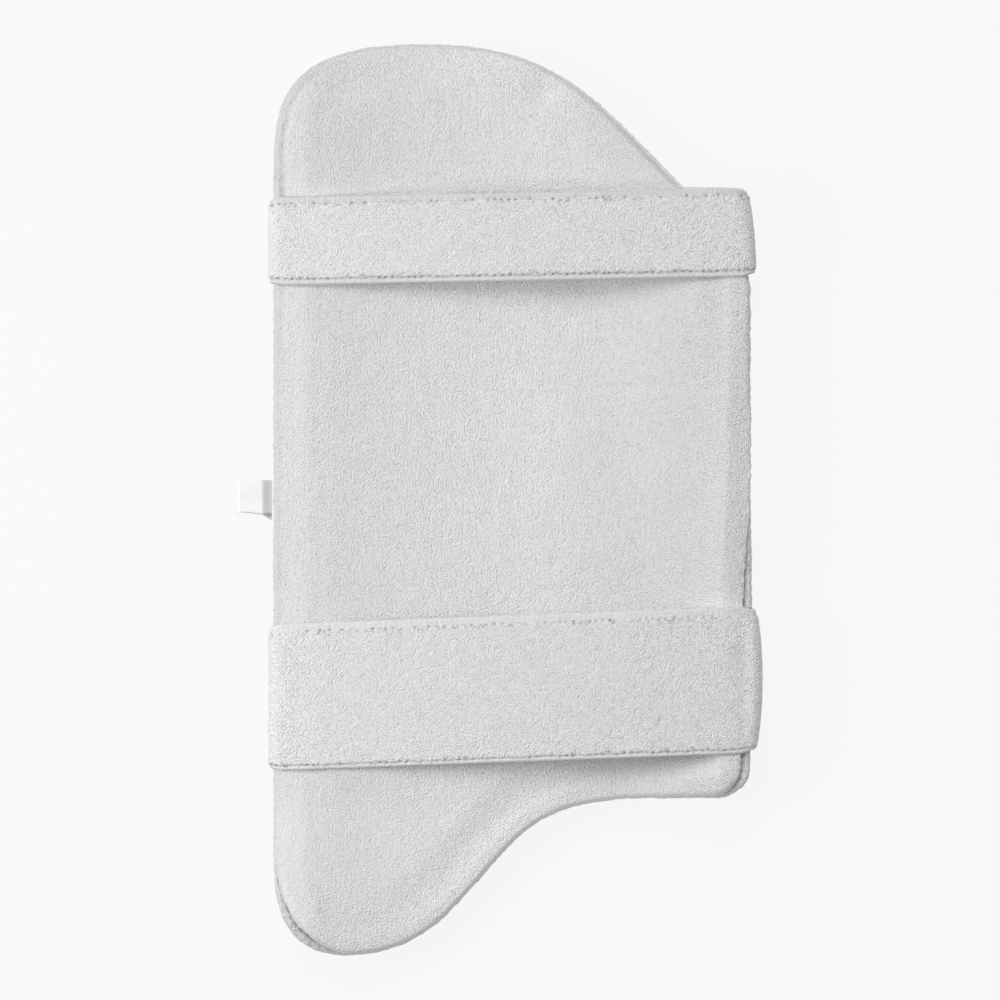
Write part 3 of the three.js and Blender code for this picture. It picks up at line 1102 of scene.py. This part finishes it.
    def raise_pile(self, pad: bpy.types.Object) -> None:
        """Gives the fine mesh its lumps, its crease, its dents and its painted shade.

        Args:
            pad: the pad, subdivided.
        """
        points = points_of(pad.data)
        x, y, z = points.T
        nearest, inset = self.outline.nearest(points)
        side = 1.0 - smoothstep(*self.side_rise, z - self.form.front(x))
        crease = self.outline.traced()[nearest, -1] * bell(inset, self.crease_inset, self.crease_width)
        crease *= self.crease_share + self.crease_lumps.height(points)
        height = sum(lumps.height(points) for lumps in self.lumps)
        height += side * self.side_lumps.height(points) - self.crease_depth * crease
        moved = points + normals_of(pad.data) * height[:, None]
        for dent in self.dents:
            dip = dent.depth * bell(x, dent.x, dent.half_x) * bell(y, dent.y, dent.half_y)
            moved[:, 2] -= dip * (1.0 - side)
        move_points(pad.data, moved)
        self._paint_shade(pad.data, points, inset, crease)

    def _paint_shade(self, mesh: bpy.types.Mesh, points: Array, inset: Array, crease: Array) -> None:
        """Marks the painted shade and painted light, and where the pile is worn flat.

        Args:
            mesh: the fine mesh.
            points: its points before the pile was raised.
            inset: how far in from the outline each one is.
            crease: how deep in the crease it is, from 0 to about 1.
        """
        x, y, _ = points.T
        edge = smoothstep(*self.edge_zone, inset) * smoothstep(*self.left_zone, x)
        # Painted shade: an even amount, more by x, on the left edge, in the crease and toward the hip end;
        # painted light in the knee lobe and above the straps.
        painted_shade = self.even_painted_shade + follow(self.painted_shade, x) + self.edge_painted_shade * edge + crease
        painted_shade += self.hip_painted_shade * smoothstep(*self.hip_zone, y)
        painted_shade += follow(self.lobe_painted_light, x) * smoothstep(*self.lobe_zone, y)
        painted_shade += self.strap_edge_painted_light * sum(line.share(x, y) for line in self.strap_edge_lights)
        mark(mesh, "painted_shade", painted_shade)
        mark(mesh, "worn", follow(self.worn, x) + self.knee_worn * smoothstep(*self.knee_zone, y))

    def build(self) -> bpy.types.Object:
        """Returns:
            The pad.
        """
        pad, held = self.coarse()
        self.swell(pad, held)
        pad.vertex_groups.clear()
        subdivide(pad, 2)
        self.raise_pile(pad)
        return pad


@dataclass(frozen=True)
class FrontCover:
    """The cloth over the front, turned up round the foam and back into the seam, as a soft rim."""

    form: PadForm
    outline: Outline
    across: int = 44
    along: int = 88
    hidden_step: int = 4
    section: tuple[Row, ...] = (
        Row(1.0, 0.0, 5.0, 2.0),
        Row(1.0, 0.0, 1.1, 2.1),
        Row(1.0, 0.0, 1.0, 10.6),
        Row(1.0, 0.0, 0.4, 11.6),
        Row(0.6, 0.0, 0.0, 12.1),
        Row(0.12, 0.0, 0.0, 11.0),
        Row(0.0, 0.0, 0.0, 8.4),
        Row(0.0, 0.0, 0.0, 4.4),
        Row(0.0, 0.0, 0.6, 2.2),
        Row(0.0, 0.0, 2.2, 0.8),
        Row(0.0, 0.0, 5.5, 0.05),
    )
    inside: Row = Row(1.0, 0.0, 12.0, 2.0)
    outside: Row = Row(0.0, 0.0, 12.0, 0.0)
    stitch: float = 4.1
    pucker: float = 0.14
    crest_lumps: Lumps = Lumps(11, 0.2, 6.0)
    crest_rise: Span = (3.0, 7.0)
    crest_inset: Span = (12.0, 6.0)
    nubs: tuple[Lumps, ...] = (Lumps(12, 0.12, 14.0), Lumps(13, 0.22, 1.9))
    nub_rise: Span = (0.5, 3.0)
    left_painted_shade: float = 1.55
    left_zone: Span = (-60.0, -96.0)
    crown_zone: Span = (85.0, 120.0)
    cut: Span = (0.227, 0.414)
    cut_area: float = 0.0739

    def build(self) -> bpy.types.Object:
        """Makes the cover, puckered by the stitches of its seam.

        Returns:
            The cover.
        """
        stations = self.outline.stations(self.across, self.along)
        skin = Skin()
        rings = [skin.add(self.form.placed(stations.moved(row), row.rise)) for row in self.section]
        skin.quads(np.stack(rings), closed=True)
        close_coarsely(skin, self.form, stations, rings[0], self.inside, self.hidden_step)
        close_coarsely(skin, self.form, stations, rings[-1], self.outside, self.hidden_step)
        cover = skin.made("cover_turned")
        subdivide(cover, 2)
        self._pucker(cover)
        return cover

    def _pucker(self, cover: bpy.types.Object) -> None:
        """Draws the rim in at each stitch, leaves it uneven between them, and marks its painted shade.

        Args:
            cover: the cover, subdivided.
        """
        points = points_of(cover.data)
        x, y, z = points.T
        nearest, inset = self.outline.nearest(points)
        along = run_along(self.outline.traced()[:, :2])[nearest]
        rise = z - self.form.front(x)
        crest = smoothstep(*self.crest_rise, rise) * smoothstep(*self.crest_inset, inset)
        drawn = self.pucker * (np.cos(along / self.stitch * math.tau) - 1.0)
        height = crest * (drawn + self.crest_lumps.height(points))
        height += smoothstep(*self.nub_rise, rise) * sum(lumps.height(points) for lumps in self.nubs)
        move_points(cover.data, points + normals_of(cover.data) * height[:, None])
        # Painted shade on the rim: more on the left, and none at the crown.
        left = smoothstep(*self.left_zone, x)
        crown = smoothstep(*self.crown_zone, y)
        mark(cover.data, "painted_shade", self.left_painted_shade * left + (1.0 - left) * (1.0 - crown))


@dataclass(frozen=True)
class Strap:
    """A plush elastic strap, pulled tight round the pad, with a row of pits along each plain selvedge."""

    name: str
    y: float
    width: float
    climb: float
    fold_lean: float
    upper_selvedge: float
    lower_selvedge: float
    seed: int
    sewn_end: float = -64.0
    free_end: float = 74.0
    gap: float = 0.35
    step: float = 0.55
    cell: float = 0.5
    inner_cells: int = 6
    fold_angle: float = 2.5
    rounding: float = 5.0
    fold_zone: Span = (98.0, 104.0)
    lean_zone: Span = (60.0, 102.5)
    lean_rise: Span = (12.0, 18.0)
    right_bulge: float = 1.0
    drawn_in: float = 1.3
    left_shoulder: Span = (-102.2, 27.0)
    right_shoulder: Span = (103.2, 29.0)
    pit_pitch: float = 3.1
    pit_size: Span = (0.65, 0.5)
    pit_stray: Span = (0.6, 0.2)
    pit_depth: float = 0.7
    foot_pits: float = 0.85
    upper_pits: float = 0.5
    ground: float = 0.3
    selvedge_height: float = 0.6
    pile_height: float = 0.6
    curl_height: float = 0.12
    cord: float = 1.2
    tick: float = 2.2
    lip: float = 0.7
    # Painted shade on the lower and upper selvedges, and on flecks of the pile toward the strap's right
    # end.
    foot_shade: float = 0.3
    upper_shade: float = 0.32
    fleck_shade: float = 0.14
    fleck_zone: Span = (60.0, 250.0)

    def line(self, points: Array) -> Array:
        """The strap's line in a section of the pad, from the front's left over the back to its right.

        Args:
            points: the points of all that it goes round.

        Returns:
            The line's x and z.
        """
        reach = self.width / 2.0 + self.climb * PAD_WIDTH
        under = points[np.abs(points[:, 1] - self.y) < reach][:, ::2]
        section = np.concatenate([under, [self.left_shoulder, self.right_shoulder]])
        angles = np.radians(np.arange(270.0, -90.0 - self.fold_angle / 2, -self.fold_angle))
        normals = np.stack([np.cos(angles), np.sin(angles)], axis=-1)
        far = (section @ normals.T).max(axis=0) + self.gap
        pairs = np.stack([normals[:-1], normals[1:]], axis=1)
        corners = np.linalg.solve(pairs, np.stack([far[:-1], far[1:]], axis=1)[..., None])[..., 0]
        return self._even(self._trimmed(corners))

    def _trimmed(self, corners: Array) -> Array:
        """Cuts a line off at the strap's two ends, which lie on the front.

        Args:
            corners: the corners of a line right round the pad.

        Returns:
            The corners between the ends, and the ends.
        """
        first = np.flatnonzero(corners[:, 0] < self.sewn_end)[0]
        last = np.flatnonzero(corners[:, 0] > self.free_end)[-1]
        kept = corners[first : last + 1]
        before, after = corners[first - 1], corners[(last + 1) % len(corners)]
        start = kept[0] + (before - kept[0]) * (self.sewn_end - kept[0][0]) / (before - kept[0])[0]
        end = kept[-1] + (after - kept[-1]) * (self.free_end - kept[-1][0]) / (after - kept[-1])[0]
        return np.concatenate([[start], kept, [end]])

    def _even(self, line: Array) -> Array:
        """Divides a line into even steps and rounds its corners.

        Args:
            line: the line's corners.

        Returns:
            The line's steps.
        """
        run = run_along(line)
        steps = np.linspace(0.0, run[-1], int(run[-1] / self.step))
        even = np.stack([np.interp(steps, run, column) for column in line.T], axis=-1)
        half = int(self.rounding / self.step / 2)
        window = np.hanning(2 * half + 3)[1:-1]
        window /= window.sum()
        before = 2 * even[0] - even[half:0:-1]
        after = 2 * even[-1] - even[-2 : -half - 2 : -1]
        padded = np.concatenate([before, even, after])
        return np.stack([np.convolve(column, window, "valid") for column in padded.T], axis=-1)

    def _pits(self, along: Array, past: Array, low: Array) -> Array:
        """The pits between the pile and a selvedge: one for each beat, uneven in place and depth.

        Args:
            along: the distance along the strap.
            past: the distance past the selvedge.
            low: whether the selvedge is the lower one.

        Returns:
            How much of a pit there is, from 0 to 1, which also sets its painted shade.
        """
        beat = np.round(along / self.pit_pitch)
        cell = np.stack([beat, low * 5.0, np.zeros_like(beat)], axis=-1)
        shift, lift, depth = (Grain(self.seed + k).pick(cell) for k in (3, 4, 5))
        middle = beat * self.pit_pitch + self.pit_stray[0] * shift
        pit_and_shade = bell(along, middle, self.pit_size[0]) * bell(past, self.pit_stray[1] * lift, self.pit_size[1])
        share = np.where(low, self.foot_pits + 0.4 * depth, self.upper_pits + 0.6 * depth)
        return pit_and_shade * np.clip(share, 0.0, 1.0)

    def _relief(self, along: Array, across: Array) -> tuple[Array, Array, Array]:
        """The strap's outer face.

        Args:
            along: the distance along the strap.
            across: the distance from its lower edge.

        Returns:
            The height over the inner face, how much pile there is, and how much painted shade, in the pits,
            on the selvedges and on flecks.
        """
        low = across < self.width / 2.0
        edge = np.where(low, across, self.width - across)
        past = edge - np.where(low, self.lower_selvedge, self.upper_selvedge)
        flat = np.stack([along, across, np.zeros_like(along)], axis=-1)
        pile = smoothstep(-0.4, 0.5, past + 0.4 * Grain(self.seed).at(flat, 1.6))
        curls = Grain(self.seed + 1).at(flat, 1.2)
        flecks = smoothstep(0.3, 0.7, Grain(self.seed + 6).at(flat, 0.9))
        # The pits, and stray ones from the flecks, are sunk and also carry painted shade.
        pit_and_shade = np.maximum(self._pits(along, past, low), 0.45 * flecks * bell(past, 0.9, 0.9))
        cords = np.cos(edge * math.tau / self.cord)
        ticks = np.cos(along * math.tau / self.tick)
        threads = 0.12 * cords + 0.05 * ticks + 0.1 * Grain(self.seed + 7).at(flat, 0.9)
        rounded = np.sqrt(1.0 - (1.0 - np.clip(edge / self.lip, 0.0, 1.0)) ** 2)
        plain = self.selvedge_height + threads * (1.0 - pile)
        plush = pile * (self.pile_height + self.curl_height * curls)
        height = plain * rounded + self.ground + plush - self.pit_depth * pit_and_shade
        # Painted shade on the plain selvedges, lighter on their cords, and on flecks of the pile more
        # toward the right end.
        shade = (1.0 - pile) * (np.where(low, self.foot_shade, self.upper_shade) - 0.6 * threads)
        shade += self.fleck_shade * flecks * pile * smoothstep(*self.fleck_zone, along)
        return height, pile, np.maximum(pit_and_shade, shade)

    def build(self, points: Array) -> bpy.types.Object:
        """Makes the strap: a fine outer face, and a plain inner one.

        Args:
            points: the points of all that it goes round.

        Returns:
            The strap.
        """
        line = self.line(points)
        run = run_along(line)
        cells = int(self.width / self.cell)
        along, across = np.meshgrid(run, np.linspace(0.0, self.width, cells + 1), indexing="ij")
        height, pile, pit_and_shade = self._relief(along, across)
        few = np.linspace(0, cells, self.inner_cells + 1).astype(int)
        plain = np.zeros((len(line), len(few)))
        skin = Skin()
        outer = skin.add(self._placed(line, along, across, height))
        inner = skin.add(self._placed(line, along[:, few], across[:, few], plain))
        skin.shell(outer, inner)
        strap = skin.made(f"{self.name}_strap_plush")
        for name, values in (("pile", pile), ("pit_and_shade", pit_and_shade)):
            mark(strap.data, name, np.concatenate([values.ravel(), np.zeros(inner.size)]))
        return strap

    def _placed(self, line: Array, along: Array, across: Array, height: Array) -> Array:
        """Puts a face of the strap in the frame.

        Args:
            line: the strap's line.
            along: the distance along the strap for each point.
            across: the distance from its lower edge.
            height: how far out from the line each point is.

        Returns:
            The points.
        """
        share = across / self.width
        middle = 1.0 - (2.0 * share - 1.0) ** 2
        bulge = self.right_bulge * smoothstep(*self.fold_zone, line[:, :1]) * middle
        flat = line[:, None] + outward(line)[:, None] * (height + bulge)[..., None]
        over = smoothstep(*self.lean_zone, flat[..., 0]) * smoothstep(*self.lean_rise, flat[..., 1])
        x = flat[..., 0] - self.fold_lean * share * over
        turned = smoothstep(*self.fold_zone, np.abs(line[:, :1]))
        inward = self.drawn_in * turned * (0.5 - share) * (1.0 - middle) ** 2 * 2.0
        y = self.y + self.climb * (along - along[-1] / 2.0) + across - self.width / 2.0 + inward
        return np.stack([x, y, flat[..., 1]], axis=-1)


@dataclass(frozen=True)
class HookTab:
    """A strip of hook tape that lies on the front, under the free end of its strap."""

    form: PadForm
    strap: Strap
    start: float = 76.0
    end: float = 95.0
    margin: float = 4.0
    thickness: float = 1.2
    gap: float = 0.6
    cell: float = 0.45
    hook: float = 1.5
    hook_height: float = 0.25
    plain_lit: float = 0.6

    def build(self) -> bpy.types.Object:
        """Makes the strip, with small hooks on the face that grips.

        Returns:
            The strip.
        """
        half = self.strap.width / 2.0 - self.margin
        middle = self.strap.y + self.strap.climb * PAD_WIDTH
        x = np.linspace(self.start, self.end, int((self.end - self.start) / self.cell) + 1)
        y = np.linspace(middle - half, middle + half, int(2.0 * half / self.cell) + 1)
        plan = np.stack(np.meshgrid(x, y, indexing="ij"), axis=-1)
        hooks = smoothstep(0.2, 0.9, np.cos(plan / self.hook * math.tau).prod(axis=-1))
        skin = Skin()
        upper = skin.add(self.form.placed(plan, -self.gap - self.hook_height * (1.0 - hooks)))
        lower = skin.add(self.form.placed(plan, -self.gap - self.thickness))
        skin.shell(upper, lower)
        tab = skin.made(f"{self.strap.name}_hook_strip")
        mark(tab.data, "lit", np.concatenate([hooks.ravel(), np.full(lower.size, self.plain_lit)]))
        return tab


@dataclass(frozen=True)
class SideLabel:
    """A blank ribbon folded back on itself, both ends in the seam at the pad's left side."""

    x: float = -103.2
    y: float = 1.5
    z: float = 19.0
    width: float = 14.2
    length: float = 14.8
    wall: float = 0.45
    fold: float = 1.1
    along_cells: int = 90
    across_cells: int = 24
    seam_reach: float = 4.5
    seam_dip: float = 3.6
    lift: float = 1.8
    lower_leaf: Span = (0.5, 0.75)
    lower_slant: float = 2.6
    lower_shift: float = 0.35
    wave: float = 0.35
    wave_rate: float = 0.42
    cup: float = 0.3
    cup_rate: float = 5.0
    cup_reach: float = 8.0

    def build(self) -> bpy.types.Object:
        """Makes the ribbon: out along the upper leaf, round the fold and back along the lower one.

        Returns:
            The label.
        """
        straight = self.length - self.fold
        bow = math.pi * self.fold
        total = 2.0 * straight + bow
        run = np.linspace(0.0, total, self.along_cells + 1)
        turn = np.clip((run - straight) / bow, 0.0, 1.0) * math.pi
        out = np.minimum(run, straight) - np.maximum(0.0, run - straight - bow) + self.fold * np.sin(turn)
        line = np.stack([out, self.fold * np.cos(turn)], axis=-1)
        half_wall = outward(line) * self.wall / 2
        skin = Skin()
        outer = skin.add(self._placed(line + half_wall, run / total))
        inner = skin.add(self._placed(line - half_wall, run / total))
        skin.shell(outer, inner)
        label = skin.made("label_ribbon_loop")
        return label

    def _placed(self, line: Array, part: Array) -> Array:
        """Bends the ribbon a little: it dips at the seam, and the lower leaf is turned out of line.

        Args:
            line: how far out and how high each step along the ribbon is.
            part: how far along the ribbon it is, from 0 to 1.

        Returns:
            The points.
        """
        share = np.linspace(-0.5, 0.5, self.across_cells + 1)[None]
        out, rise = line[:, :1], line[:, 1:]
        root = 1.0 - smoothstep(0.0, self.seam_reach, out)
        lower = smoothstep(*self.lower_leaf, part)[:, None]
        y = share * self.width - self.lower_slant * lower * root - self.lower_shift * lower
        y = y - self.wave * np.sin(out * self.wave_rate) * (0.5 - share)
        z = rise + self.lift - self.seam_dip * root
        z = z + self.cup * np.sin(share * self.cup_rate) * smoothstep(0.0, self.cup_reach, out)
        return np.stack(np.broadcast_arrays(self.x - out, self.y + y, self.z + z), axis=-1)


class Lamp(NamedTuple):
    """A round soft light that faces the pad: its place, its width and its power."""

    name: str
    place: tuple[float, float, float]
    side: float
    power: float


@dataclass(frozen=True)
class Studio:
    """The floor, soft light from the left and the top, and the camera straight above."""

    field: float = 430.0
    aim: tuple[float, float, float] = (-5.16, 0.0, 19.0)
    distance: float = 12000.0
    far_clip: float = 20000.0
    floor_side: float = 8000.0
    floor_drop: float = 0.2
    lamps: tuple[Lamp, ...] = (
        Lamp("left_light", (-760.0, -60.0, 720.0), 600.0, 6.0),
        Lamp("top_light", (-400.0, 1900.0, 2600.0), 2250.0, 52.1),
    )
    sky: float = 0.415

    def floor(self) -> None:
        """Lays the floor just under the pad."""
        skin = Skin()
        half, low = self.floor_side / 2.0, -self.floor_drop
        corners = [(-half, -half, low), (half, -half, low), (half, half, low), (-half, half, low)]
        skin.face(skin.add(np.array(corners)))
        floor = skin.made("backdrop_floor")
        floor.data.materials.append(Backdrop().material())

    def light(self) -> None:
        """Hangs the soft lights and brightens the sky round them."""
        for lamp in self.lamps:
            source = bpy.data.lights.new(lamp.name, "AREA")
            source.shape = "DISK"
            source.size = lamp.side * MM
            source.energy = lamp.power
            light = bpy.data.objects.new(lamp.name, source)
            light.location = Vector(lamp.place) * MM
            light.rotation_euler = (-light.location).to_track_quat("-Z", "Y").to_euler()
            bpy.context.scene.collection.objects.link(light)
        world = bpy.data.worlds.new("sky")
        world.use_nodes = True
        sky = world.node_tree.nodes["Background"]
        sky.inputs["Color"].default_value = grey(1.0)
        sky.inputs["Strength"].default_value = self.sky
        bpy.context.scene.world = world

    def camera(self) -> None:
        """Puts the camera above the pad, with the hip end at the top of the picture."""
        lens = bpy.data.cameras.new("camera")
        lens.lens = lens.sensor_width * self.distance / self.field
        lens.clip_end = self.far_clip * MM
        camera = bpy.data.objects.new("camera", lens)
        camera.location = (Vector(self.aim) + Vector((0.0, 0.0, self.distance))) * MM
        bpy.context.scene.collection.objects.link(camera)
        bpy.context.scene.camera = camera
        bpy.context.scene.view_settings.view_transform = "Standard"


STRAPS = (
    Strap("upper", 113.0, 38.0, 0.019, 3.6, upper_selvedge=2.8, lower_selvedge=2.6, seed=21),
    Strap(
        "lower", -81.2, 63.0, 0.037, 0.0, upper_selvedge=3.5, lower_selvedge=1.8, seed=41,
        right_bulge=2.6, right_shoulder=(103.2, 26.4), foot_pits=0.6, foot_shade=0.2, upper_shade=0.23,
    ),
)


def main() -> None:
    """Builds the pad piece by piece, then the studio round it."""
    logging.basicConfig(level=logging.INFO, format="%(name)s: %(message)s")
    finishes = {slot: finish.material() for slot, finish in FINISHES.items()}
    form, outline = PadForm(), Outline()
    pad = PadBody(form, outline).build()
    settle(pad, finishes[Slot.TOWELLING], "pad_body")
    cover = FrontCover(form, outline).build()
    settle(cover, finishes[Slot.COVER], "front_cover")
    for strap in STRAPS:
        tab = HookTab(form, strap).build()
        settle(tab, finishes[Slot.HOOK], f"{strap.name}_hook_tab")
        points = np.concatenate([points_of(piece.data) for piece in (pad, cover, tab)])
        settle(strap.build(points), finishes[Slot.ELASTIC], f"{strap.name}_strap")
    settle(SideLabel().build(), finishes[Slot.LABEL], "side_label")
    studio = Studio()
    studio.floor()
    studio.light()
    studio.camera()


if __name__ == "__main__":
    main()
